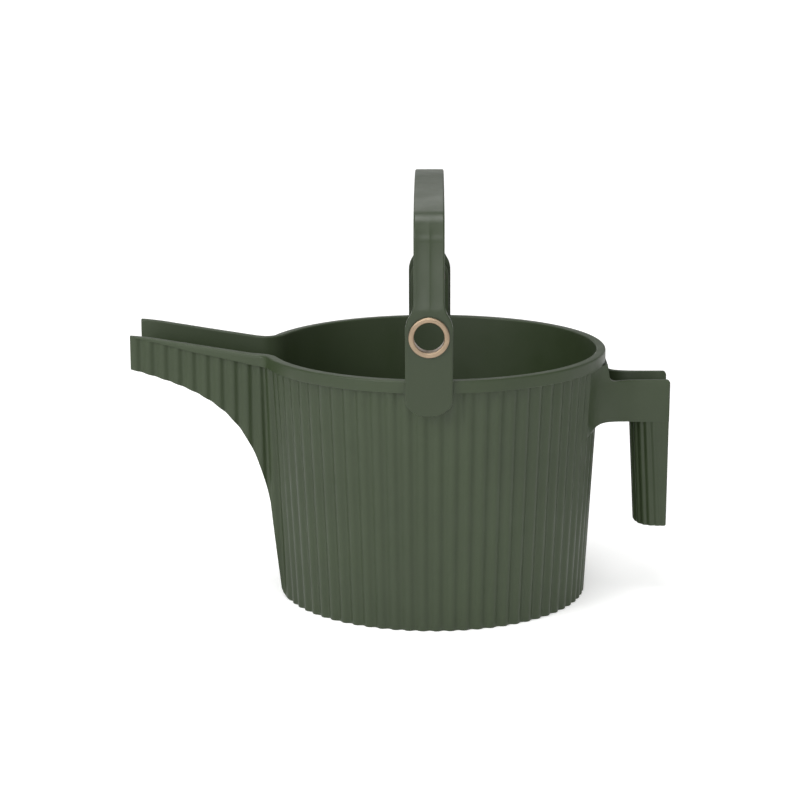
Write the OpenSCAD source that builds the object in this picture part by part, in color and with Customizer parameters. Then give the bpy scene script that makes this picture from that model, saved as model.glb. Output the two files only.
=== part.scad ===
// Watering can: a fluted bucket with an open trough spout and a hollow side
// handle, and a flat bail that turns on two hollow flanged sleeves.
// Millimetres. Origin on the bucket's axis at the base, +Z up, spout towards -X.

/* [Bucket] */
// Height of the rim above the ground
rim_h = 161.4; // [156:0.1:166]
// Outer radius of the rim band
rim_r = 111.2; // [110.8:0.1:111.4]
// Height of the rim band
band_h = 7.8; // [6:0.1:10]
// Radius over the flute crests at the ground
foot_r = 99.2; // [97:0.1:100]
// Radius over the flute crests at rim height
crest_r = 108.5; // [107:0.1:109]
// Wall thickness from crest to the smooth inside
wall = 3.4; // [2.6:0.1:3.6]
// Thickness of the floor
floor_t = 3; // [2.5:0.1:4]

/* [Spout] */
// Distance from the bucket's axis to the spout's tip
spout_x = 192; // [185:1:200]
// Height of the top edge at the tip
tip_h = 174; // [170:0.5:178]
// Height of the underside at the tip
tip_low = 152; // [149:0.5:154]
// Half width over the walls at the tip
tip_w = 31.2; // [30:0.1:32]
// Half width over the rim band at the bucket
root_w = 33.3; // [32:0.1:34]
// Wall thickness at the tip
tip_wall = 3.5; // [3:0.1:4]

/* [Side handle] */
// Distance from the bucket's axis to the handle's outer face
grip_x = 152.4; // [150:0.2:156]
// Height of the handle's top edge
arm_top = 141.8; // [139:0.2:144]
// Height of the arm's underside
arm_low = 114.4; // [112:0.2:116]
// Half width of the arm
arm_w = 15.6; // [15:0.1:16.5]
// Radius of the blend between arm and bucket
arm_blend = 36; // [32:1:38]
// Height of the lower end of the leg
leg_low = 44.4; // [35:0.2:55]
// Wall thickness of the handle
grip_wall = 2.9; // [2.4:0.1:3.2]

/* [Bail] */
// Position of the bail's plane along X
bail_x = -2.5; // [-3:0.1:0]
// Height of the pivot axis
pivot_h = 188.9; // [187:0.1:191]
// Width of the strip
strip_w = 18.6; // [17:0.1:19]
// Thickness of the strip
strip_t = 4.8; // [4.2:0.1:5.2]
// Highest point of the arch
arch_top = 272.5; // [268:0.1:280]
// Distance from the axis to the outside of the arch's legs
leg_y = 109; // [108.4:0.1:109.4]
// Half width of the end plates
plate_w = 14.4; // [14:0.1:14.8]
// Outer face of the end plates
plate_y = 115.4; // [115.2:0.1:115.6]
// Lower end of the end plates
plate_low = 140.4; // [138:0.1:144]

/* [Pivots] */
// Outer radius of the sleeve's barrel
sleeve_r = 10; // [9.6:0.1:10.4]
// Radius of the hole through the sleeve
hole_r = 9.1; // [8.6:0.05:9.2]
// Outer radius of the sleeve's flange
flange_r = 12.3; // [12:0.1:12.6]
// Running clearance of the end plate on the barrel
run_gap = 0.06; // [0.03:0.01:0.09]

/* [Hidden] */
green = "#4c5944";
gold = "#b79a7d";

taper = (crest_r - foot_r) / rim_h;          // widening of the wall per mm of height
root_x = 105;                                 // where the spout's top edge meets the rim
ear_in = 107.4;                               // inner face of the ears
ear_out = 110.6;                              // outer face of the ears
ear_w = 13;                                   // half width of the ears
plate_in = 111.7;                             // inner face of the end plates
boss_in = 110.85;                             // bearing face of the end plates
ring_t = 1.2;                                 // thickness of a retaining ring
flange_t = 1.4;                               // thickness of a sleeve's flange
flange_gap = 0.2;                             // play under the flange
sleeve_in = ear_in - ring_t - 0.2;            // inner end of the sleeve

function arc(cx, cy, r, a0, a1, n) =
    [for (i = [0:n]) let (a = a0 + (a1 - a0) * i / n) [cx + r * cos(a), cy + r * sin(a)]];

// Underside of the spout: one curve from the tip down to the foot, offset inwards by d
sweep_c = [[-spout_x, tip_low], [-127, 133], [-100, 116], [-98.2, -17]];
function bez(t) = let (u = 1 - t)
    u*u*u * sweep_c[0] + 3*u*u*t * sweep_c[1] + 3*u*t*t * sweep_c[2] + t*t*t * sweep_c[3];
function bez_d(t) = let (u = 1 - t)
    u*u * (sweep_c[1] - sweep_c[0]) + 2*u*t * (sweep_c[2] - sweep_c[1]) + t*t * (sweep_c[3] - sweep_c[2]);
function sweep(d, t1) = [for (i = [0:26]) let (t = t1 * i / 26, p = bez(t), v = bez_d(t))
    p + d * [-v[1], v[0]] / norm(v)];
sweep_end = 0.775;                            // parameter of the curve near the foot

// Extrudes an XZ outline from y0 to y1
module along_y(y0, y1) translate([0, y1, 0]) rotate([90, 0, 0]) linear_extrude(y1 - y0) children();

// ---------- bucket ----------
module bucket_shell() rotate_extrude($fn = 180) polygon([
    [0, 0], [foot_r - 0.8, 0], [foot_r + 0.05, 0.8],
    [foot_r + taper * (rim_h - band_h), rim_h - band_h], [rim_r - 0.5, rim_h - band_h],
    [rim_r, rim_h - band_h + 0.5], [rim_r, rim_h - 1.4], [rim_r - 1.4, rim_h], [0, rim_h]]);

module bucket_room() rotate_extrude($fn = 180) polygon([
    [0, floor_t], [foot_r - wall - 3, floor_t], [foot_r - wall + 0.25, floor_t + 3],
    [crest_r - wall, rim_h], [crest_r - wall, rim_h + 2], [0, rim_h + 2]]);

// ---------- spout ----------
module spout_plan(w_tip, w_root) linear_extrude(200) polygon([
    [-spout_x - 5, -w_tip], [-root_x, -w_root], [-70, -w_root],
    [-70, w_root], [-root_x, w_root], [-spout_x - 5, w_tip]]);

function top_at(x) = rim_h + (tip_h - rim_h) * (-x - root_x) / (spout_x - root_x);

module spout_walls() intersection() {
    spout_plan(tip_w, root_w - 3.6);
    along_y(-50, 50) polygon(concat(sweep(0, sweep_end), [[-97.2, 4], [-95, 1.6], [-70, 1.6],
        [-70, rim_h - 1], [-root_x, rim_h - 1], [-spout_x + 1.5, tip_h - 0.2], [-spout_x, tip_h - 1.5]]));
}

module spout_band() intersection() {
    spout_plan(tip_w, root_w);
    along_y(-50, 50) polygon([[-spout_x, tip_h - 3], [-spout_x, tip_h - 1.5], [-spout_x + 1.5, tip_h - 0.2],
        [-root_x - 2, rim_h + 0.3], [-root_x + 2, rim_h], [-70, rim_h],
        [-70, rim_h - band_h], [-root_x, rim_h - band_h], [-spout_x + 30, top_at(-spout_x + 30) - 4.5]]);
}

module spout_room() intersection() {
    spout_plan(tip_w - tip_wall, root_w - 6.6);
    along_y(-50, 50) polygon(concat([[-spout_x - 5, tip_low + 4.4]], sweep(wall, sweep_end * 0.99),
        [[-93, floor_t + 3], [-91, floor_t], [-60, floor_t], [-60, 199], [-spout_x - 5, 199]]));
}

// ---------- side handle ----------
flare_y = arm_w + arm_blend;
flare_r = foot_r + taper * 132 - 0.5;          // radius at which the blend meets the wall
flare_x = sqrt(pow(flare_r + arm_blend, 2) - flare_y * flare_y);
flare_a = atan2(flare_y, flare_x);            // direction of the blend's centre

// Outer face of the handle, leaning in slightly towards the ground
function face_x(z) = grip_x - 0.008 * (arm_top - z);

// Plan of the arm, d inside its outer faces
module arm_plan(d) {
    side = arc(flare_x, -flare_y, arm_blend + d, 90, 180 - flare_a, 10);
    far = d > 0 ? [[grip_x - d, -arm_w + d]]
                : arc(grip_x - 3, -arm_w + 3, 3, 0, -90, 4);
    half = concat([for (i = [0:len(side) - 1]) side[len(side) - 1 - i]], d > 0 ? far :
        [for (i = [0:len(far) - 1]) far[len(far) - 1 - i]]);
    polygon(concat([[96.5, -37.4]], half, [for (i = [0:len(half) - 1]) [half[len(half) - 1 - i][0], -half[len(half) - 1 - i][1]]],
        [[96.5, 37.4]]));
}

module arm() difference() {
    intersection() {
        linear_extrude(200) arm_plan(0);
        along_y(-50, 50) polygon(concat([[90, 95], [face_x(95), 95], [face_x(arm_top - 2.5), arm_top - 2.5]],
            arc(grip_x - 2.5, arm_top - 2.5, 2.5, 0, 90, 4),
            [[117, arm_top], [115.4, arm_top + 0.2], [114.2, arm_top + 0.8], [113.3, arm_top + 1.8], [112.75, arm_top + 3.2],
             [112.4, arm_top + 5.2], [111.5, rim_h - band_h + 0.4], [90, rim_h - band_h + 0.4]]));
    }
    // lower side, with its blend into the wall
    rotate_extrude($fn = 180) polygon([[101.8, 88], [101.8, 104.8], [103.4, 107.2], [104.8, 109.3], [105.7, 110.9], [106.7, 112.7],
        [108.2, 114.2], [110.3, arm_low + 0.8], [113, arm_low + 1], [118, arm_low + 0.7], [124, arm_low + 0.3],
        [131, arm_low], [180, arm_low], [180, 88]]);
}

// Upright leg with a round inner side; d is the distance inside its faces
module leg(d, z0, z1) intersection() {
    translate([142.15, 0, 120]) rotate([0, -3, 0]) translate([0, 0, -100]) linear_extrude(130) union() {
        circle(r = 15.1 - d, $fn = 96);
        translate([0, -15.1 + d]) square([25, 2 * (15.1 - d)]);
    }
    along_y(-20, 20) polygon([[110, z0], [face_x(z0) - d, z0], [face_x(z1) - d, z1], [110, z1]]);
}

module handle_room() difference() {
    union() {
        translate([0, 0, arm_low + grip_wall]) linear_extrude(60) arm_plan(grip_wall);
        // the trough runs out through the far face
        translate([grip_x - 12, -arm_w + grip_wall, arm_low + 4.6]) cube([18, 2 * (arm_w - grip_wall), 60]);
        leg(grip_wall, leg_low + grip_wall, arm_low + 5);
    }
    cylinder(r = rim_r + 1.4, h = 220, $fn = 180);
}

// ---------- ears that carry the pivots ----------
module ear() difference() {
    along_y(-ear_out, -ear_in) union() {
        translate([bail_x - ear_w, rim_h - 6]) square([2 * ear_w, pivot_h - rim_h + 6]);
        translate([bail_x, pivot_h]) circle(r = ear_w, $fn = 96);
    }
    along_y(-ear_out - 1, -ear_in + 1) translate([bail_x, pivot_h]) circle(r = sleeve_r, $fn = 96);
}

module body() color(green) difference() {
    union() {
        bucket_shell();
        spout_walls();
        spout_band();
        arm();
        leg(0, leg_low, arm_low + 2);
        ear();
        mirror([0, 1, 0]) ear();
    }
    bucket_room();
    spout_room();
    handle_room();
}

// ---------- bail ----------
// Side outline of one half of the arch, from the end plate to the crown
corner_r = 18;                                // outside radius of the arch's corners
crown_rise = 10;                              // rise of the crown between the corners
crown_tilt = atan(2 * crown_rise / 94.7);     // slope where crown and corner meet
crown_end = leg_y - corner_r + corner_r * sin(crown_tilt);
function crown(f, d) = let (y = crown_end * (1 - f) - d * sin(crown_tilt) * (1 - f))
    [-y, arch_top - d * (1 - (1 - cos(crown_tilt)) * (1 - f)) - crown_rise * pow(1 - f, 2)];
// Inward lean of the strip over the plate, steepest just above the pivot
function lean(f) = (plate_y - leg_y) * f * (1.5 - 0.5 * f);
module half_arch() {
    y1 = leg_y; t = strip_t;
    zc = arch_top - crown_rise - corner_r * cos(crown_tilt);
    a = 90 + crown_tilt;
    polygon(concat(
        [[-plate_y, 199]],
        [for (i = [0:8]) [-plate_y + lean(i / 8), 204.5 + 40.5 * i / 8]],
        arc(-y1 + corner_r, zc, corner_r, 180, a, 12),
        [for (i = [0:8]) crown(i / 8, 0)],
        [for (i = [0:8]) crown(1 - i / 8, t)],
        arc(-y1 + corner_r, zc, corner_r - t, a, 180, 12),
        [for (i = [8:-1:0]) [-plate_y + lean(i / 8) + min(t, plate_y - plate_in + 0.4 * i), 204.5 + 40.5 * i / 8]],
        [[-plate_in, 199]]));
}

module arch_strip() translate([bail_x - strip_w / 2, 0, 0]) rotate([90, 0, 90]) linear_extrude(strip_w) union() {
    half_arch();
    mirror([1, 0]) half_arch();
}

// Face outline of an end plate: round shoulders above, half an ellipse below
module plate_face() translate([bail_x, 0]) union() {
    translate([0, 193]) circle(r = plate_w, $fn = 96);
    translate([-plate_w, plate_low + 10]) square([2 * plate_w, 193 - plate_low - 10]);
    polygon([for (a = [180:6:360]) [plate_w * cos(a), plate_low + 10 + 10 * sin(a)]]);
    // shoulders running up into the strip
    for (s = [-1, 1]) polygon([[0, 195], [s * 13.2, 198.8], [s * 11.6, 201.6], [s * 10.1, 205], [s * 9.3, 209], [0, 209]]);
}

module end_plate() difference() {
    union() {
        intersection() {
            along_y(-plate_y, -plate_in) plate_face();
            translate([-50, -120, 100]) cube([100, 20, 106]);
        }
        along_y(-plate_y + 0.5, -boss_in) translate([bail_x, pivot_h]) circle(r = 12.6, $fn = 96);
    }
    along_y(-plate_y - 1, -boss_in + 1) translate([bail_x, pivot_h]) circle(r = sleeve_r + run_gap, $fn = 96);
}

module bail_handle() color("#556350") union() {
    arch_strip();
    end_plate();
    mirror([0, 1, 0]) end_plate();
}

// ---------- pivots ----------
module pivot_sleeve() rotate([90, 0, 0]) translate([bail_x, pivot_h, 0]) rotate_extrude($fn = 128) polygon([
    [hole_r + 0.45, sleeve_in], [sleeve_r, sleeve_in], [sleeve_r, plate_y + flange_gap],
    [flange_r, plate_y + flange_gap], [flange_r, plate_y + flange_gap + flange_t - 0.4],
    [flange_r - 0.4, plate_y + flange_gap + flange_t], [hole_r + 0.4, plate_y + flange_gap + flange_t],
    [hole_r, plate_y + flange_gap + flange_t - 0.4], [hole_r, 112.1], [hole_r + 0.45, 111.5]]);

module retaining_ring() rotate([90, 0, 0]) translate([bail_x, pivot_h, ear_in - ring_t]) difference() {
    cylinder(r = sleeve_r + 0.7, h = ring_t, $fn = 128);
    translate([0, 0, -1]) cylinder(r = sleeve_r, h = ring_t + 2, $fn = 128);
}

module front_pivot_sleeve() color(gold) pivot_sleeve();
module rear_pivot_sleeve() color(gold) mirror([0, 1, 0]) pivot_sleeve();
module front_retaining_ring() color("#3a3733") retaining_ring();
module rear_retaining_ring() color("#3a3733") mirror([0, 1, 0]) retaining_ring();

body();
bail_handle();
front_pivot_sleeve();
rear_pivot_sleeve();
front_retaining_ring();
rear_retaining_ring();
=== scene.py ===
import math

import bmesh
import bpy
import numpy as np
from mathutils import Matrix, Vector


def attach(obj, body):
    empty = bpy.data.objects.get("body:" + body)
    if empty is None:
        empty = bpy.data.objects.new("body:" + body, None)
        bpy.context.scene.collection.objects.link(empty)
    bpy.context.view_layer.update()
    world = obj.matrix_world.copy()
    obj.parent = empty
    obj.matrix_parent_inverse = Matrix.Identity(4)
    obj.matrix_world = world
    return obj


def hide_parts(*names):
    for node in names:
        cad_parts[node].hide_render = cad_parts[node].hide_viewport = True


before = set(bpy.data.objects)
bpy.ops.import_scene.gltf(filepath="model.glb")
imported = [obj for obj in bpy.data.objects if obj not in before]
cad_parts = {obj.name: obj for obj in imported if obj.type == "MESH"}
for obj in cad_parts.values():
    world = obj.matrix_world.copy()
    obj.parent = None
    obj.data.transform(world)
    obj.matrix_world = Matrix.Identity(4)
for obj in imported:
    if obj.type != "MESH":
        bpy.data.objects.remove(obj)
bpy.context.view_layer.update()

MM = 0.001
scene = bpy.context.scene

# ------------------------------------------------------------------ helpers


def smooth(a, b, x):
    t = np.clip((np.asarray(x, float) - a) / (b - a), 0, 1)
    return t * t * (3 - 2 * t)


def make(name, verts, faces):
    mesh = bpy.data.meshes.new(name)
    mesh.from_pydata([tuple(v) for v in np.asarray(verts, float) * MM], [], faces)
    bm = bmesh.new()
    bm.from_mesh(mesh)
    bmesh.ops.remove_doubles(bm, verts=bm.verts, dist=1e-7)
    bmesh.ops.recalc_face_normals(bm, faces=bm.faces)
    bm.to_mesh(mesh)
    bm.free()
    obj = bpy.data.objects.new(name, mesh)
    scene.collection.objects.link(obj)
    return obj


def loft(name, rows, wrap=False):
    """A closed solid through rows of points; each row is a closed loop. wrap joins the last row to the first."""
    rows = np.asarray(rows, float)
    n, m = rows.shape[:2]
    faces = []
    for i in range(n if wrap else n - 1):
        k = (i + 1) % n
        for j in range(m):
            l = (j + 1) % m
            faces.append((i * m + j, i * m + l, k * m + l, k * m + j))
    if not wrap:
        faces.append(tuple(range(m - 1, -1, -1)))
        faces.append(tuple((n - 1) * m + j for j in range(m)))
    return make(name, rows.reshape(-1, 3), faces)


def lathe(name, profile, place, segments=160):
    """Turns a closed (radius, along) profile round an axis; place maps (a, b, along) to a point."""
    rows = []
    for r, t in profile:
        rows.append([place(r * math.cos(a), r * math.sin(a), t)
                     for a in np.linspace(0, 2 * math.pi, segments, endpoint=False)])
    rows = np.array(rows)
    n, m = rows.shape[:2]
    faces = []
    closed = profile[0][0] > 1e-6
    for i in range(n if closed else n - 1):
        k = (i + 1) % n
        for j in range(m):
            faces.append((i * m + j, i * m + (j + 1) % m, k * m + (j + 1) % m, k * m + j))
    return make(name, rows.reshape(-1, 3), faces)


def prism_y(name, outline, y0, y1):
    """An outline in X and Z, drawn out along Y."""
    return loft(name, [[(x, y, z) for x, z in outline] for y in (y0, y1)])


def combine(obj, others, operation):
    for o in others:
        mod = obj.modifiers.new("join", "BOOLEAN")
        mod.operation = operation
        mod.solver = "MANIFOLD"
        mod.object = o
        graph = bpy.context.evaluated_depsgraph_get()
        mesh = bpy.data.meshes.new_from_object(obj.evaluated_get(graph))
        old = obj.data
        obj.modifiers.clear()
        obj.data = mesh
        bpy.data.meshes.remove(old)
        print("combine", obj.name, operation, o.name, len(mesh.vertices), len(mesh.polygons))
        bpy.data.objects.remove(o, do_unlink=True)
    return obj


def finish_mesh(obj, angle=32):
    mesh = obj.data
    bm = bmesh.new()
    bm.from_mesh(mesh)
    bmesh.ops.dissolve_degenerate(bm, edges=bm.edges, dist=2e-6)
    loose = [v for v in bm.verts if not v.link_faces]
    bmesh.ops.delete(bm, geom=loose, context="VERTS")
    bm.to_mesh(mesh)
    bm.free()
    for p in mesh.polygons:
        p.use_smooth = True
    mesh.set_sharp_from_angle(angle=math.radians(angle))
    return obj


def arc(cx, cy, r, a0, a1, n):
    return [(cx + r * math.cos(math.radians(a0 + (a1 - a0) * i / n)),
             cy + r * math.sin(math.radians(a0 + (a1 - a0) * i / n))) for i in range(n + 1)]


# ------------------------------------------------------------------ the can's own curves, in millimetres
RIM_R, RIM_H, BAND_H = 111.2, 161.4, 7.8
TIP_X, ROOT_X = -191.98, -105.0
WALL = 3.0
FLUTE = 5.12            # degrees from crest to crest round the bucket
DEPTH = 1.7             # crest to valley


def crest_r(z):
    return 99.2 + 0.0578 * z


def inner_r(z):
    return 95.8 + 0.059 * z


def top_z(x):
    """Height of the upper edge along X: level round the bucket, climbing to the spout's tip."""
    d = -105.5 - np.asarray(x, float)
    rise = 0.16 * 3.0 * np.logaddexp(0, d / 3.0)
    rise = np.where(d < -14, 0, rise * smooth(-14, 0, d))
    return RIM_H + rise - 0.95 * smooth(-4, 12, d) - 0.6 * np.clip((d - 70.0) / 14.0, 0, 1.4) ** 2


LOW_X = np.array([-192, -187, -182, -173, -160, -148, -135, -122.6, -112.5, -107, -100, -90])
LOW_Z = np.array([172.6, 171.6, 170.4, 168.6, 165.2, 162.3, 159.7, 156.9, 154.5, 153.8, 153.6, 153.6])


def low_z(x):
    return np.interp(x, LOW_X, LOW_Z)


def plan(r, w_root, slope, fil, z_like, spout_cols, fil_cols, ring_deg, end_x=TIP_X):
    """Front half of a plan curve from the spout's end to the +X axis.
    Returns x, y, outward normal and flute phase for each column. r: one value for the row. z_like is not used."""
    k = 1 / math.sqrt(1 + slope * slope)
    cx = -math.sqrt((r + fil) ** 2 - (w_root + fil) ** 2)
    for _ in range(3):
        w = w_root + (ROOT_X - cx) * slope
        cy = -(w + fil / k)
        cx = -math.sqrt((r + fil) ** 2 - cy * cy)
    nx, ny = slope * k, -k
    x1 = cx - fil * nx
    # spout side: fixed columns, then stretched ones up to the blend
    last = -127.9
    fixed = spout_cols[spout_cols <= last]
    n_s = int((spout_cols > last).sum())
    xs = np.concatenate([fixed, last + (x1 - last) * (np.arange(1, n_s + 1) / (n_s + 1))])
    xs[0] = end_x
    ys = -(w_root + (ROOT_X - xs) * slope)
    ph_s = (xs + 119.1) / 8.78
    nrm_s = np.tile([nx, ny], (len(xs), 1))
    # blend
    a0 = math.atan2(k, -slope * k)
    a1 = math.atan2(-cy, -cx)
    t = np.linspace(0, 1, fil_cols)
    a = a0 + (a1 - a0) * t
    xf, yf = cx + fil * np.cos(a), cy + fil * np.sin(a)
    nrm_f = -np.stack([np.cos(a), np.sin(a)], -1)
    th1 = math.degrees(math.atan2(cy, cx))
    ph0, ph1 = (x1 + 119.1) / 8.78, bucket_phase(th1) + 17
    ph_f = ph0 + (ph1 - ph0) * t
    # bucket: stretched columns up to a fixed one, then fixed
    first = -148.0
    fixed = ring_deg[ring_deg >= first]
    n_b = int((ring_deg < first).sum())
    th = np.concatenate([th1 + (first - th1) * (np.arange(1, n_b + 1) / (n_b + 1)), fixed])
    xb, yb = r * np.cos(np.radians(th)), r * np.sin(np.radians(th))
    nrm_b = np.stack([np.cos(np.radians(th)), np.sin(np.radians(th))], -1)
    return (np.concatenate([xs, xf, xb]), np.concatenate([ys, yf, yb]),
            np.concatenate([nrm_s, nrm_f, nrm_b]), np.concatenate([ph_s, ph_f, bucket_phase(th) + 17]))


def bucket_phase(deg):
    deg = np.asarray(deg, float)
    return ((deg + 90) / FLUTE - 0.25 + 0.172 * smooth(-30, 0, deg)
            - 0.172 * smooth(0, 1, (-150 - deg) / 30))


def groove(phase):
    """0 on a crest, 1 in a valley; crests are broader than valleys."""
    return ((1 - np.cos(2 * np.pi * phase)) / 2) ** 1.25


def mirror_loop(x, y, z):
    """Joins a front half to its mirror image into one closed loop."""
    front = np.stack([x, y, z], -1)
    back = front[-2::-1] * [1, -1, 1] if abs(y[-1]) < 1e-6 else front[::-1] * [1, -1, 1]
    return np.concatenate([front, back])


SPOUT_COLS = np.concatenate([[TIP_X], np.arange(TIP_X + 0.6, ROOT_X - 8, 8.78 / 12)])
RING_DEG = np.concatenate([np.arange(-159, 0, FLUTE / 12), [0.0]])

# underside of the spout
SWEEP = np.array([[-192.0, 152.0], [-127, 133], [-100, 116], [-98.2, -17]])


def sweep(inset, t1, n=72):
    out = []
    for t in np.linspace(0, t1, n):
        u = 1 - t
        p = u**3 * SWEEP[0] + 3 * u * u * t * SWEEP[1] + 3 * u * t * t * SWEEP[2] + t**3 * SWEEP[3]
        v = u * u * (SWEEP[1] - SWEEP[0]) + 2 * u * t * (SWEEP[2] - SWEEP[1]) + t * t * (SWEEP[3] - SWEEP[2])
        v /= np.linalg.norm(v)
        p = p + inset * np.array([-v[1], v[0]])
        out.append((p[0], p[1]))
    return out


# ------------------------------------------------------------------ body
FOOT = [(0.0, 0.9), (0.08, 0.55), (0.27, 0.26), (0.55, 0.08), (0.9, 0.0)]


def fluted_wall():
    """Bucket and spout walls in one run, before the underside of the spout is cut."""
    rows = []
    levels = FOOT + [(z, 0.0) for z in (4, 10, 18, 28, 40, 52, 64, 76, 88, 100, 112, 124, 134, 143, 151, 159)]
    for z0, inset in levels:
        x, y, n, ph = plan(crest_r(z0), 29.7, 0.01724, 11.0, z0, SPOUT_COLS, 26, RING_DEG)
        z = z0 * (top_z(x) - 2.0 + 1.6 * (1 - smooth(TIP_X, -172, x))) / 159.0
        depth = DEPTH * (0.86 + 0.14 * smooth(-120, -100, x))
        depth = depth * smooth(TIP_X, TIP_X + 3.0, x)
        d = inset + depth * groove(ph)
        corner = 0.5 * (1 - smooth(TIP_X, TIP_X + 0.9, x))
        rows.append(mirror_loop(x - n[:, 0] * (d + corner), y - n[:, 1] * (d + corner), z))
    return loft("wall", rows)


def fluted_bucket():
    deg = np.arange(-180, 0, FLUTE / 12)
    deg = np.concatenate([deg, [0.0]])
    rows = []
    for z, inset in FOOT + [(z, 0.0) for z in (4, 16, 34, 54, 76, 100, 124, 146, 158)]:
        ph = bucket_phase(deg)
        r = crest_r(z) - 0.05 - inset - DEPTH * groove(ph)
        x, y = r * np.cos(np.radians(deg)), r * np.sin(np.radians(deg))
        front = np.stack([x, y, np.full_like(x, z)], -1)
        rows.append(np.concatenate([front[:-1], (front[1:] * [1, -1, 1])[::-1]]))
    return loft("bucket", rows)


def rim_band():
    """The plain band along the top edge, swept as one moulding round the bucket and out along the spout."""
    ring = np.concatenate([np.arange(-159, 0, 1.25), [0.0]])
    cols = np.concatenate([[TIP_X], np.arange(TIP_X + 0.4, TIP_X + 3, 0.5), np.arange(TIP_X + 3, ROOT_X - 8, 1.6)])
    x, y, n, _ = plan(RIM_R, 33.3, -0.0241, 7.5, RIM_H, cols, 22, ring)
    thick = 3.5 + 2.4 * smooth(-192, -100, x) + 1.2
    zt, zl = top_z(x), low_z(x)
    corner = 0.5 * (1 - smooth(TIP_X, TIP_X + 0.9, x))
    r_out = np.minimum(1.2 + 1.0 * (1 - smooth(-109, -103, x)), (zt - zl) * 0.45)
    prof = []
    a = np.radians(np.linspace(0, 90, 8))
    loops = [(0 * x + 0.35, zl), (0 * x, zl + 0.35)]
    for t in a:
        loops.append((r_out * (1 - np.cos(t)), zt - r_out + r_out * np.sin(t)))
    loops += [((thick + r_out) / 2, zt + 0.03), (thick, zt), (thick, zl)]
    rows = []
    for i in range(len(x)):
        rows.append([(x[i] - n[i, 0] * (dd[i] + corner[i]), y[i] - n[i, 1] * (dd[i] + corner[i]), zz[i]) for dd, zz in loops])
    rows = np.array(rows)
    rows = np.concatenate([rows, rows[-2::-1] * [1, -1, 1]])
    return loft("band", rows)


def interior_run():
    """Smooth inside of the bucket and spout above the floor's corner."""
    rows = []
    ring = np.concatenate([np.arange(-157, 0, 2.0), [0.0]])
    cols = np.concatenate([[TIP_X], np.arange(TIP_X + 4, ROOT_X - 10, 4.0)])
    levels = [(z, 0.0, 0) for z in (12, 30, 55, 80, 105, 128, 148)] + [(160.0, 0.0, 0)]
    lip = 0.95
    levels += [(160.0, lip * (1 - math.cos(a)), lip * math.sin(a)) for a in np.radians([12, 27, 42, 57, 72])]
    levels += [(160.0, lip * (1 - math.cos(math.radians(72))), 7.0)]
    for z0, out, up in levels:
        r = inner_r(z0) + (0.03 if z0 > 12 else 0.0)
        x, y, n, _ = plan(r, 26.7, 0.0115, 16.0, z0, cols, 16, ring, end_x=TIP_X - 8)
        z = z0 * (top_z(np.maximum(x, TIP_X)) - lip) / 160.0 + up
        rows.append(mirror_loop(x + n[:, 0] * out, y + n[:, 1] * out, z))
    return loft("inside", rows)


def interior_bucket():
    prof = [(0.0, 3.0), (96.0 - 5.6, 3.0)]
    r0 = 5.0
    for a in np.linspace(-90, 0, 8)[1:]:
        z = 3 + r0 + r0 * math.sin(math.radians(a))
        prof.append((inner_r(z) - r0 + r0 * math.cos(math.radians(a)), z))
    prof += [(inner_r(14), 14.0), (0.0, 14.0)]
    rows = []
    seg = 180
    pts, faces = [], []
    for r, z in prof[1:-1]:
        rows.append([(r * math.cos(a), r * math.sin(a), z) for a in np.linspace(0, 2 * math.pi, seg, endpoint=False)])
    return loft("inside_low", rows)


GRIP_X = 152.4
FLARE = 36.0            # radius of the blend between the arm's sides and the bucket
FLARE_Y = 15.6 + FLARE


def face_x(z):
    """Outer face of the handle, which leans in slightly towards the ground."""
    return GRIP_X - 0.008 * (141.8 - z)


def flare_centre(r_wall):
    x = math.sqrt((r_wall + FLARE) ** 2 - FLARE_Y**2)
    return x, math.degrees(math.atan2(FLARE_Y, x))


def arm_half(d, far_r, r_wall, end=GRIP_X):
    """Front half of the arm's plan, d inside its outer faces, from the bucket to the far end's middle."""
    fx, fa = flare_centre(r_wall)
    side = arc(fx, -FLARE_Y, FLARE + d, 180 - fa, 90, 28)
    flat = [(fx + (end - far_r - fx) * i / 6, -15.6 + d) for i in range(1, 6)]
    r = max(far_r - d, 0.6)
    far = arc(end - d - r, -15.6 + d + r, r, -90, 0, 6)
    return side + flat + far


def closed(half, start):
    pts = [start] + half
    return pts + [(x, -y) for x, y in pts[::-1]]


# lower side of the arm against the distance from the bucket's axis, with its blend into the wall
UNDER = [(101.8, 88), (101.8, 104.8), (103.4, 107.2), (104.8, 109.3), (105.7, 110.9), (106.7, 112.7), (108.2, 114.2), (110.3, 115.2), (113, 115.4),
         (118, 115.1), (124, 114.7), (131, 114.4), (180, 114.3), (180, 88)]


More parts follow.
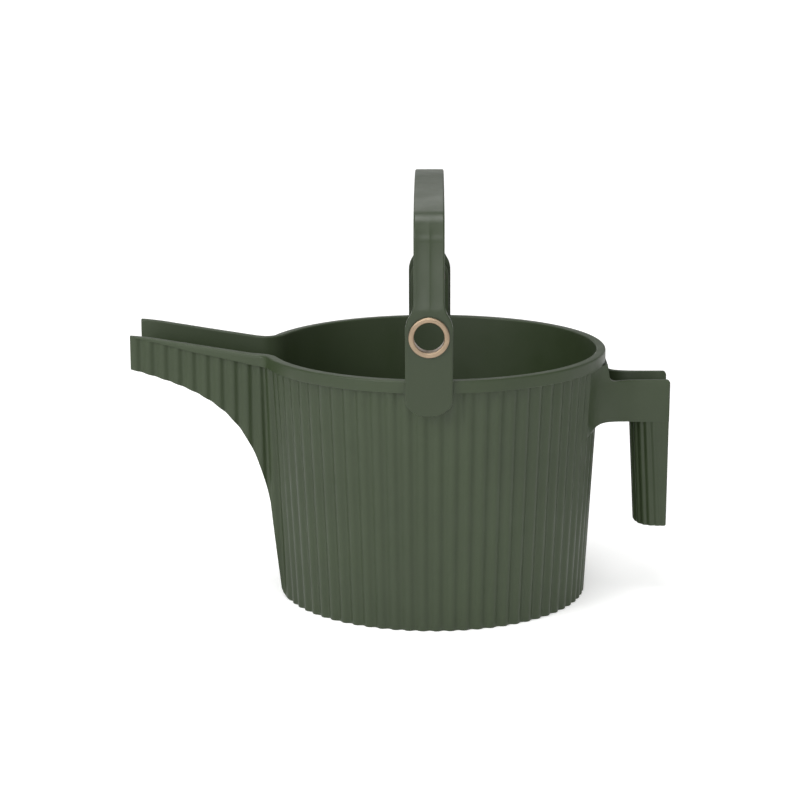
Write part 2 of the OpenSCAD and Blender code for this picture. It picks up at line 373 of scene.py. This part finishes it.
def arm():
    def rows(levels, inset):
        out = []
        for z, d in levels:
            half = arm_half(d + inset, 1.2, crest_r(min(z, 153.0)) - 0.5, face_x(z))
            out.append([(x, y, z) for x, y in closed(half, (96.5, -37.4))])
        return out

    low = [(98, 0.0), (108, 0.0), (118, 0.0), (130, 0.0), (141.0, 0.0), (141.25, 0.05), (141.5, 0.2), (141.7, 0.45), (141.8, 0.8)]
    solid = loft("arm", rows(low, 0.0))
    corner = [(GRIP_X + 3, 150), (GRIP_X - 2.6, 150), (GRIP_X - 2.6, 141.81)]
    corner += [(x, z) for x, z in arc(GRIP_X - 2.6, 141.8 - 2.6, 2.6, 86, 0, 8)] + [(GRIP_X + 0.02, 139.0), (GRIP_X + 3, 139.0)]
    combine(solid, [prism_y("arm_corner", corner, -60, 60)], "DIFFERENCE")
    # the sides run up to the rim band beside the bucket and sweep down into the arm's top edge
    root = loft("arm_root", rows([(104, 0.0), (112, 0.0), (122, 0.0), (134, 0.0), (144, 0.0), (153.4, 0.0)], 0.02))
    keep = [(90, 100), (90, 154), (111.3, 154), (111.6, 152.0), (112.0, 149.5), (112.4, 147.0), (112.75, 145.0), (113.3, 143.6),
            (114.2, 142.6), (115.4, 142.0), (117.0, 141.75), (119, 141.6), (119, 100)]
    combine(root, [prism_y("root_edge", keep, -60, 60)], "INTERSECT")
    combine(solid, [root], "UNION")
    under = lathe("arm_under", UNDER, lambda a, b, t: (a, b, t), 240)
    combine(solid, [under], "DIFFERENCE")
    return solid


def leg_loop(z, inset, fluted=True):
    out_x = face_x(z) - 0.08
    cx = 142.15 + (120 - z) * 0.0524
    r = 15.1 - inset
    al = np.linspace(0, 90, 62)
    side_n = 26
    xs = np.concatenate([cx - r * np.cos(np.radians(al)), cx + (out_x - inset - 1.4 - cx) * np.arange(1, side_n + 1) / side_n])
    ys = np.concatenate([-r * np.sin(np.radians(al)), np.full(side_n, -r)])
    nx = np.concatenate([-np.cos(np.radians(al)), np.zeros(side_n)])
    ny = np.concatenate([-np.sin(np.radians(al)), -np.ones(side_n)])
    if fluted:
        ph = np.concatenate([al / 18.6 + 0.177 * smooth(0, 14, al),
                             90 / 18.6 + 0.177 + (xs[62:] - cx) / 3.7])
        edge = 142.0 + (114 - z) / 68.0 * 6.6
        depth = 0.68 * (1 - 0.8 * smooth(edge - 3, edge + 1.5, xs)) * (1 - smooth(edge + 3, edge + 8, xs))
        d = depth * groove(ph)
        xs, ys = xs - nx * d, ys - ny * d
    c = arc(out_x - inset - 1.4, -r + 1.4, 1.4, -90, 0, 5)[1:]
    xs = np.concatenate([xs, [p[0] for p in c], [out_x - inset]])
    ys = np.concatenate([ys, [p[1] for p in c], [0.0]])
    return xs, ys


def leg():
    rows = []
    foot = [(0.0, 0.8), (0.07, 0.5), (0.24, 0.24), (0.5, 0.07), (0.8, 0.0)]
    for up, inset in foot:
        x, y = leg_loop(44.4 + up, inset)
        z = 44.4 + up + 1.5 * np.clip((136.5 - x) / 6.5, 0, 1.15) ** 2
        rows.append(mirror_loop(x, y, z))
    for z in (50, 58, 66, 74, 82, 90, 98, 106, 112, 117):
        x, y = leg_loop(z, 0.0)
        rows.append(mirror_loop(x, y, np.full_like(x, z)))
    return loft("leg", rows)


def handle_room():
    """Trough of the arm, open above."""
    rows = []
    fx, _ = flare_centre(crest_r(130) - 0.5)
    hyp = math.hypot(fx, FLARE_Y)
    r1, r2 = 112.6, FLARE + 2.9
    a = (hyp**2 + r1**2 - r2**2) / (2 * hyp)
    h = math.sqrt(r1**2 - a * a)
    u = np.array([fx, -FLARE_Y]) / hyp
    p = u * a + np.array([-u[1], u[0]]) * h
    ang = math.degrees(math.atan2(p[1], p[0]))
    start = math.degrees(math.atan2(p[1] + FLARE_Y, p[0] - fx))
    if start < 0:
        start += 360
    for z, d in [(117.1, 3.9), (117.3, 3.3), (117.9, 2.95), (118.6, 2.9), (141.1, 2.9), (141.35, 2.84), (141.6, 2.64), (141.8, 2.35), (156, 2.3)]:
        side = arc(fx, -FLARE_Y, FLARE + d, start, 90, 18)
        flat = [(fx + (GRIP_X - 5.4 - fx) * i / 5, -15.6 + d) for i in range(1, 5)]
        far = arc(GRIP_X - d - 2.2, -15.6 + d + 2.2, 2.2, -90, 0, 6)
        front = side + flat + far
        root = arc(0, 0, r1, ang * 0.999, 0, 14)[::-1][:-1]
        loop = [(x, y, z) for x, y in front] + [(x, -y, z) for x, y in front[::-1]]
        loop += [(x, -y, z) for x, y in root[::-1]] + [(x, y, z) for x, y in root[1:]]
        rows.append(loop)
    return loft("trough", rows)


def trough_end():
    """The trough runs out through the handle's far face."""
    return loft("trough_end", [[(140, -12.68, z), (158, -12.68, z), (158, 12.68, z), (140, 12.68, z)] for z in (119.0, 156.0)])


def leg_room():
    rows = []
    for z, extra in [(47.9, 1.3), (48.1, 0.7), (48.6, 0.2), (49.4, 0.0), (60, 0), (75, 0), (90, 0), (105, 0), (119, 0)]:
        x, y = leg_loop(z, 2.9 + extra, fluted=False)
        rows.append(mirror_loop(x, y, np.full_like(x, z)))
    return loft("pocket", rows)


def ear(sign):
    top = arc(-2.5, 188.9, 13.0, 0, 180, 48)
    out = [(10.5, 155.0), (10.5, 170.0), (10.5, 180.0)] + top[:] + [(-15.5, 180.0), (-15.5, 170.0), (-15.5, 155.0)]

    def inset(d):
        res = []
        for x, z in out:
            if z >= 188.8:
                r = 13.0 - d
                a = math.atan2(z - 188.9, x + 2.5)
                res.append((-2.5 + r * math.cos(a), 188.9 + r * math.sin(a)))
            else:
                res.append((x - d if x > -2.5 else x + d, z))
        return res

    rows = []
    for y, d in [(107.4, 0.6), (107.55, 0.2), (107.9, 0.0), (110.1, 0.0), (110.45, 0.2), (110.6, 0.6)]:
        rows.append([(x, sign * y, z) for x, z in inset(d)])
    return loft("ear", rows)


def drill(sign, y0, y1, r, name="bore"):
    return loft(name, [[(-2.5 + r * math.cos(a), sign * y, 188.9 + r * math.sin(a))
                        for a in np.linspace(0, 2 * math.pi, 128, endpoint=False)] for y in (y0, y1)])


def build_body():
    wall = fluted_wall()
    keep = sweep(0.0, 0.745) + [(-98.3, 7.0), (-97.3, 4.0), (-95.6, 1.8), (-93.0, 0.5), (-90.0, -1.0), (180, -1.0), (180, 185), (-193, 185), (-193, 152.1)]
    combine(wall, [prism_y("above_sweep", keep, -130, 130)], "INTERSECT")
    combine(wall, [fluted_bucket(), rim_band(), arm(), leg(), ear(-1), ear(1)], "UNION")
    inside = interior_run()
    low = sweep(WALL, 0.765)
    keep = [(-205, low[0][1] - (low[0][1] - low[1][1]) * 0 + 2.6)] + low + [(-93.5, 3.2), (150, 3.2), (150, 190), (-205, 190)]
    combine(inside, [prism_y("above_inner_sweep", keep, -130, 130)], "INTERSECT")
    combine(wall, [inside, interior_bucket(), handle_room(), trough_end(), leg_room(), drill(-1, 105, 113, 10.03), drill(1, 105, 113, 10.03)], "DIFFERENCE")
    wall.name = "fluted_can"
    return finish_mesh(wall)


# ------------------------------------------------------------------ bail
ARCH_TOP, RISE, CORNER, STRIP = 272.5, 10.0, 18.0, 9.3      # STRIP is the strip's half width


def bail_path():
    """Outer face of the front half in the YZ plane, from the plate's lower end to the crown's middle: (y, z) points."""
    pts = [(-115.4, 150.4 - 10 * math.sin(math.radians(a))) for a in (84, 81, 78, 75, 71, 67, 62, 57, 51, 45, 38, 31, 23, 15, 7)]
    pts += [(-115.4, z) for z in (150.4, 153, 156, 162, 168, 174, 180, 186, 192, 195, 198, 200, 202, 203.5)]
    # above the plate the strip leans in, steepest just over the pivot
    for t in np.linspace(0, 1, 27):
        soft = 0.05 * (1 - math.exp(-t / 0.05))
        pts.append((-115.4 + 6.4 * (1.5 * (t - soft) - 0.5 * t * t + 0.075 * t), 204.5 + 40.5 * t))
    tilt = math.degrees(math.atan(2 * RISE / 94.7))
    zc = ARCH_TOP - RISE - CORNER * math.cos(math.radians(tilt))
    pts += arc(-109 + CORNER, zc, CORNER, 180, 90 + tilt, 18)
    end = -(109 - CORNER) - CORNER * math.sin(math.radians(tilt))
    for f in np.linspace(0, 1, 21)[1:]:
        y = end * (1 - f)
        pts.append((y if f < 1 else 0.0, ARCH_TOP - RISE * (1 - f) ** 2))
    return np.array(pts)


def plate_half_width(z):
    """Half width of the bail against height, for the end plate and the strip above it."""
    z = np.asarray(z, float)
    low = 150.4
    t = np.clip((low - z) / 10.0, 0, 1)
    w = np.maximum(14.4 * np.sqrt(1 - t * t), 2.0)
    w = np.where(z > low, 14.4, w)
    top = np.sqrt(np.clip(14.4**2 - np.clip(z - 193, 0, 14.4) ** 2, 0, None))
    neck = np.interp(z, [193, 198.0, 199.5, 201, 202.5, 204, 206, 208, 210, 213, 300],
                     [40, 13.6, 12.95, 12.1, 11.15, 10.45, 9.8, 9.45, 9.35, 9.3, 9.3])
    return np.where(z > 193, np.minimum(np.maximum(top, 0), 40) * (z < 198.6) + neck * (z >= 198.6), w)


def bail():
    path = bail_path()
    full = np.concatenate([path, (path[:-1] * [-1, 1])[::-1]])
    tan = np.gradient(full, axis=0)
    tan /= np.linalg.norm(tan, axis=1)[:, None]
    nrm = np.stack([-tan[:, 1], tan[:, 0]], -1)          # outward
    z = full[:, 1]
    side = np.abs(full[:, 0]) > 88
    w = np.where(side, plate_half_width(z), STRIP)
    thick = np.where(side, 3.7 + 1.1 * smooth(206, 222, z), 4.8)
    flute = np.where(side, smooth(203.5, 209, z) * (1 - smooth(249, 261.5, z)), 0.0)
    rows = []
    e = 1.0
    fa = np.radians(np.linspace(0, 90, 6))
    u = np.linspace(-1, 1, 49)
    n = len(full)
    for i in range(n):
        if side[i]:
            rise = abs(z[i] - z.min())
            end = e * (1 - math.sqrt(max(0.0, 1 - (1 - min(rise, e) / e) ** 2)))
            nn = np.array([math.copysign(1, full[i, 0]), 0.0]) if z[i] < 204.4 else nrm[i]
        else:
            end, nn = 0.0, nrm[i]
        base = full[i]
        loop = []
        wi, ti = w[i], thick[i]
        xs = u * (wi - e)
        dip = flute[i] * (0.26 * (1 - (2 * np.abs(u) - 1) ** 2))
        ridge = flute[i] * 0.10 * np.exp(-(u / 0.05) ** 2)
        out = -dip + ridge - flute[i] * 0.0
        for a in fa[::-1][:0]:
            pass
        # outer face, left edge to right edge
        left = [(-wi + e - e * math.cos(a), -e + e * math.sin(a)) for a in fa]
        right = [(wi - e + e * math.sin(a), -e + e * math.cos(a)) for a in fa]
        outer = left[:-1] + list(zip(xs, out)) + right[1:]
        ri = 0.8
        fb = np.radians(np.linspace(0, 90, 5))
        inner = [(wi - ri + ri * math.cos(a), -ti + ri - ri * math.sin(a)) for a in fb]
        inner += [(wi * k, -ti) for k in (0.5, 0, -0.5)]
        inner += [(-wi + ri - ri * math.sin(a), -ti + ri - ri * math.cos(a)) for a in fb]
        for x, d in outer + inner:
            dd = max(min(d, -end), -ti + end * 0.8)
            p = base + nn * dd
            loop.append((-2.5 + x, p[0], p[1]))
        rows.append(loop)
    solid = loft("bail", rows)
    bosses = []
    for s in (-1, 1):
        prof = [(112.6, 12.6), (111.2, 12.6), (110.95, 12.45), (110.85, 12.2)]
        bosses.append(loft("boss", [[(-2.5 + r * math.cos(a), s * y, 188.9 + r * math.sin(a))
                                     for a in np.linspace(0, 2 * math.pi, 96, endpoint=False)] for y, r in prof]))
    combine(solid, bosses, "UNION")
    combine(solid, [drill(-1, 109, 118, 10.06), drill(1, 109, 118, 10.06)], "DIFFERENCE")
    solid.name = "bail_strip"
    return finish_mesh(solid, 34)


def sleeve(name, sign):
    prof = [(9.55, 106.1), (9.65, 106.0), (9.85, 106.0), (9.97, 106.1), (10.0, 106.3),
            (10.0, 115.55), (10.05, 115.6), (12.1, 115.6), (12.26, 115.68), (12.3, 115.85), (12.3, 116.5),
            (12.26, 116.62), (11.98, 116.93), (11.85, 117.0), (9.6, 117.0), (9.47, 116.95), (9.16, 116.6),
            (9.1, 116.45), (9.1, 112.1), (9.15, 111.9), (9.5, 111.6), (9.55, 111.4)]
    o = lathe(name, prof, lambda a, b, t: (-2.5 + a, sign * t, 188.9 + b))
    return finish_mesh(o, 40)


def retaining(name, sign):
    prof = [(10.02, 106.25), (10.07, 106.2), (10.6, 106.2), (10.7, 106.3), (10.7, 107.3), (10.6, 107.4), (10.07, 107.4), (10.02, 107.35)]
    o = lathe(name, prof, lambda a, b, t: (-2.5 + a, sign * t, 188.9 + b), 128)
    return finish_mesh(o, 40)


# ------------------------------------------------------------------ materials
def nodes_for(name):
    mat = bpy.data.materials.new(name)
    mat.use_nodes = True
    tree = mat.node_tree
    tree.nodes.clear()
    out = tree.nodes.new("ShaderNodeOutputMaterial")
    bsdf = tree.nodes.new("ShaderNodeBsdfPrincipled")
    tree.links.new(bsdf.outputs[0], out.inputs[0])
    coord = tree.nodes.new("ShaderNodeTexCoord")
    return mat, tree, bsdf, coord


def noise(tree, coord, scale, detail=3, rough=0.55, stretch=None):
    t = tree.nodes.new("ShaderNodeTexNoise")
    t.inputs["Scale"].default_value = scale
    t.inputs["Detail"].default_value = detail
    t.inputs["Roughness"].default_value = rough
    if stretch:
        m = tree.nodes.new("ShaderNodeMapping")
        m.inputs["Scale"].default_value = stretch
        tree.links.new(coord.outputs["Object"], m.inputs[0])
        tree.links.new(m.outputs[0], t.inputs["Vector"])
    else:
        tree.links.new(coord.outputs["Object"], t.inputs["Vector"])
    return t.outputs[0]


def ramp(tree, src, lo, hi, p0=0.3, p1=0.7):
    r = tree.nodes.new("ShaderNodeMapRange")
    r.inputs["From Min"].default_value = p0
    r.inputs["From Max"].default_value = p1
    r.inputs["To Min"].default_value = lo
    r.inputs["To Max"].default_value = hi
    tree.links.new(src, r.inputs[0])
    return r.outputs[0]


def mix(tree, fac, a, b):
    m = tree.nodes.new("ShaderNodeMix")
    m.data_type = "RGBA"
    if isinstance(fac, (int, float)):
        m.inputs[0].default_value = fac
    else:
        tree.links.new(fac, m.inputs[0])
    for sock, v in ((m.inputs[6], a), (m.inputs[7], b)):
        if isinstance(v, tuple):
            sock.default_value = (*v, 1)
        else:
            tree.links.new(v, sock)
    return m.outputs[2]


def edge_mask(tree, radius, gain):
    """1 along sharp convex and concave edges, from the difference between the rounded and the true normal."""
    bev = tree.nodes.new("ShaderNodeBevel")
    bev.samples = 4
    bev.inputs[0].default_value = radius
    geo = tree.nodes.new("ShaderNodeNewGeometry")
    dot = tree.nodes.new("ShaderNodeVectorMath")
    dot.operation = "DOT_PRODUCT"
    tree.links.new(bev.outputs[0], dot.inputs[0])
    tree.links.new(geo.outputs["Normal"], dot.inputs[1])
    return ramp(tree, dot.outputs["Value"], gain, 0.0, 0.7, 0.985)


def plastic(name, base, rough, grain=1.0):
    mat, tree, bsdf, coord = nodes_for(name)
    dark = tuple(c * 0.90 for c in base)
    lite = tuple(min(1, c * 1.10) for c in base)
    col = mix(tree, ramp(tree, noise(tree, coord, 14, 4), 0, 1), dark, lite)
    flow = ramp(tree, noise(tree, coord, 30, 2, 0.5, (1, 1, 0.12)), 0.0, 0.30, 0.45, 0.75)
    col = mix(tree, flow, col, tuple(c * 1.12 for c in base))
    speck = ramp(tree, noise(tree, coord, 900, 2), 0.0, 0.22, 0.5, 0.75)
    col = mix(tree, speck, col, tuple(c * 0.8 for c in base))
    # painted edge highlight: the colour is made lighter along rounded edges to stand for light catching them
    painted_edge_highlight = edge_mask(tree, 0.0007, 0.35)
    col = mix(tree, painted_edge_highlight, col, tuple(min(1, c * 1.5 + 0.012) for c in base))
    tree.links.new(col, bsdf.inputs["Base Color"])
    r = ramp(tree, noise(tree, coord, 60, 4), rough - 0.05, rough + 0.06)
    tree.links.new(r, bsdf.inputs["Roughness"])
    bsdf.inputs["Specular IOR Level"].default_value = 0.5
    bsdf.inputs["IOR"].default_value = 1.44
    b1 = tree.nodes.new("ShaderNodeBump")
    b1.inputs["Strength"].default_value = 0.22 * grain
    b1.inputs["Distance"].default_value = 0.00006
    tree.links.new(noise(tree, coord, 2600, 2, 0.6), b1.inputs["Height"])
    b2 = tree.nodes.new("ShaderNodeBump")
    b2.inputs["Strength"].default_value = 0.12
    b2.inputs["Distance"].default_value = 0.0004
    tree.links.new(noise(tree, coord, 55, 3), b2.inputs["Height"])
    tree.links.new(b1.outputs[0], b2.inputs["Normal"])
    tree.links.new(b2.outputs[0], bsdf.inputs["Normal"])
    return mat


def satin_metal(name, base, rough, axis_scale=(1, 1, 1)):
    mat, tree, bsdf, coord = nodes_for(name)
    col = mix(tree, ramp(tree, noise(tree, coord, 120, 4), 0, 1), tuple(c * 0.9 for c in base), tuple(min(1, c * 1.06) for c in base))
    # painted highlight: the colour is made lighter along the bevels and rims to stand for light shining on them
    painted_edge_highlight = edge_mask(tree, 0.0004, 0.45)
    col = mix(tree, painted_edge_highlight, col, tuple(min(1, c * 1.25 + 0.05) for c in base))
    tree.links.new(col, bsdf.inputs["Base Color"])
    bsdf.inputs["Metallic"].default_value = 1.0
    r = ramp(tree, noise(tree, coord, 400, 4), rough - 0.06, rough + 0.08)
    tree.links.new(r, bsdf.inputs["Roughness"])
    b = tree.nodes.new("ShaderNodeBump")
    b.inputs["Strength"].default_value = 0.15
    b.inputs["Distance"].default_value = 0.00003
    tree.links.new(noise(tree, coord, 1800, 3, 0.6, axis_scale), b.inputs["Height"])
    tree.links.new(b.outputs[0], bsdf.inputs["Normal"])
    return mat


GREEN = (0.0255, 0.0390, 0.0152)
body_mat = plastic("body_green", GREEN, 0.46)
bail_mat = plastic("bail_green", (0.0205, 0.0320, 0.0118), 0.38, 0.8)
gold_mat = satin_metal("rose_gold_satin", (0.30, 0.225, 0.155), 0.36)
ring_mat = satin_metal("ring_metal_satin", (0.16, 0.14, 0.12), 0.42)

# ------------------------------------------------------------------ pieces
can = build_body()
can.data.materials.clear()
can.data.materials.append(body_mat)
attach(can, "can")
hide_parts("body")

strip = bail()
strip.data.materials.clear()
strip.data.materials.append(bail_mat)
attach(strip, "bail")
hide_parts("bail_handle")

for side, sign in (("front", -1), ("rear", 1)):
    s = sleeve(side + "_flanged_sleeve", sign)
    s.data.materials.append(gold_mat)
    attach(s, "can")
    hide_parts(side + "_pivot_sleeve")
    r = retaining(side + "_circlip", sign)
    r.data.materials.append(ring_mat)
    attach(r, "can")
    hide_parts(side + "_retaining_ring")

# ------------------------------------------------------------------ stage
# a plain pale floor that curves up into a wall behind the object
sweep_pts = [(-5.0, 0.0), (1.7, 0.0)]
sweep_pts += [(1.7 + 0.3 * math.sin(math.radians(a)), 0.3 - 0.3 * math.cos(math.radians(a))) for a in range(9, 91, 9)]
sweep_pts += [(2.0, 0.36)]
verts = [(x, y, z) for y, z in sweep_pts for x in (-5.0, 5.0)]
floor_mesh = bpy.data.meshes.new("floor")
floor_mesh.from_pydata(verts, [], [(2 * i, 2 * i + 1, 2 * i + 3, 2 * i + 2) for i in range(len(sweep_pts) - 1)])
for p in floor_mesh.polygons:
    p.use_smooth = True
floor = bpy.data.objects.new("floor", floor_mesh)
scene.collection.objects.link(floor)
mat, tree, bsdf, coord = nodes_for("floor_white")
tree.links.new(mix(tree, ramp(tree, noise(tree, coord, 3, 2), 0, 1), (0.86, 0.86, 0.855), (0.89, 0.89, 0.885)), bsdf.inputs["Base Color"])
bsdf.inputs["Roughness"].default_value = 0.9
bsdf.inputs["Specular IOR Level"].default_value = 0.1
bsdf.inputs["Emission Color"].default_value = (1, 1, 1, 1)
bsdf.inputs["Emission Strength"].default_value = 0.41
floor_mesh.materials.append(mat)

world = bpy.data.worlds.new("studio")
scene.world = world
world.use_nodes = True
world.node_tree.nodes["Background"].inputs[0].default_value = (1, 1, 1, 1)
world.node_tree.nodes["Background"].inputs[1].default_value = 0.38


def area(name, place, aim, size, power):
    data = bpy.data.lights.new(name, "AREA")
    data.shape = "RECTANGLE"
    data.size, data.size_y = size
    data.energy = power
    o = bpy.data.objects.new(name, data)
    o.location = place
    o.rotation_euler = (Vector(aim) - Vector(place)).to_track_quat("-Z", "Y").to_euler()
    scene.collection.objects.link(o)
    return o


area("key_softbox", (-1.25, -1.15, 1.0), (0, 0, 0.13), (0.8, 0.8), 14.0)
area("high_front_softbox", (-0.25, -1.15, 1.45), (0, 0, 0.2), (1.3, 1.1), 8.0)
area("top_softbox", (-0.12, -0.05, 1.6), (0, 0, 0.15), (0.7, 0.6), 8.5)
area("back_softbox", (-0.35, 1.25, 1.25), (0, 0, 0.2), (1.1, 0.55), 3.0)
area("fill_softbox", (1.4, -1.0, 0.7), (0, 0, 0.13), (0.9, 0.9), 2.5)
area("front_softbox", (-0.2, -2.2, 0.74), (0, 0, 0.2), (1.2, 0.6), 10.5)

cam_data = bpy.data.cameras.new("camera")
cam_data.sensor_width = 36
cam_data.lens = 36 * 2320.8 / 800
cam_data.shift_x = -(433.25 - 400) / 800
cam_data.shift_y = -(400 - 399.5) / 800
camera = bpy.data.objects.new("camera", cam_data)
e = math.radians(12.52)
D = 2320.8 * 0.65 * MM
camera.location = (0, -D * math.cos(e), 193.25 * 0.65 * MM + D * math.sin(e))
camera.rotation_euler = (math.pi / 2 - e, 0, 0)
scene.collection.objects.link(camera)
scene.camera = camera
scene.view_settings.view_transform = "Standard"
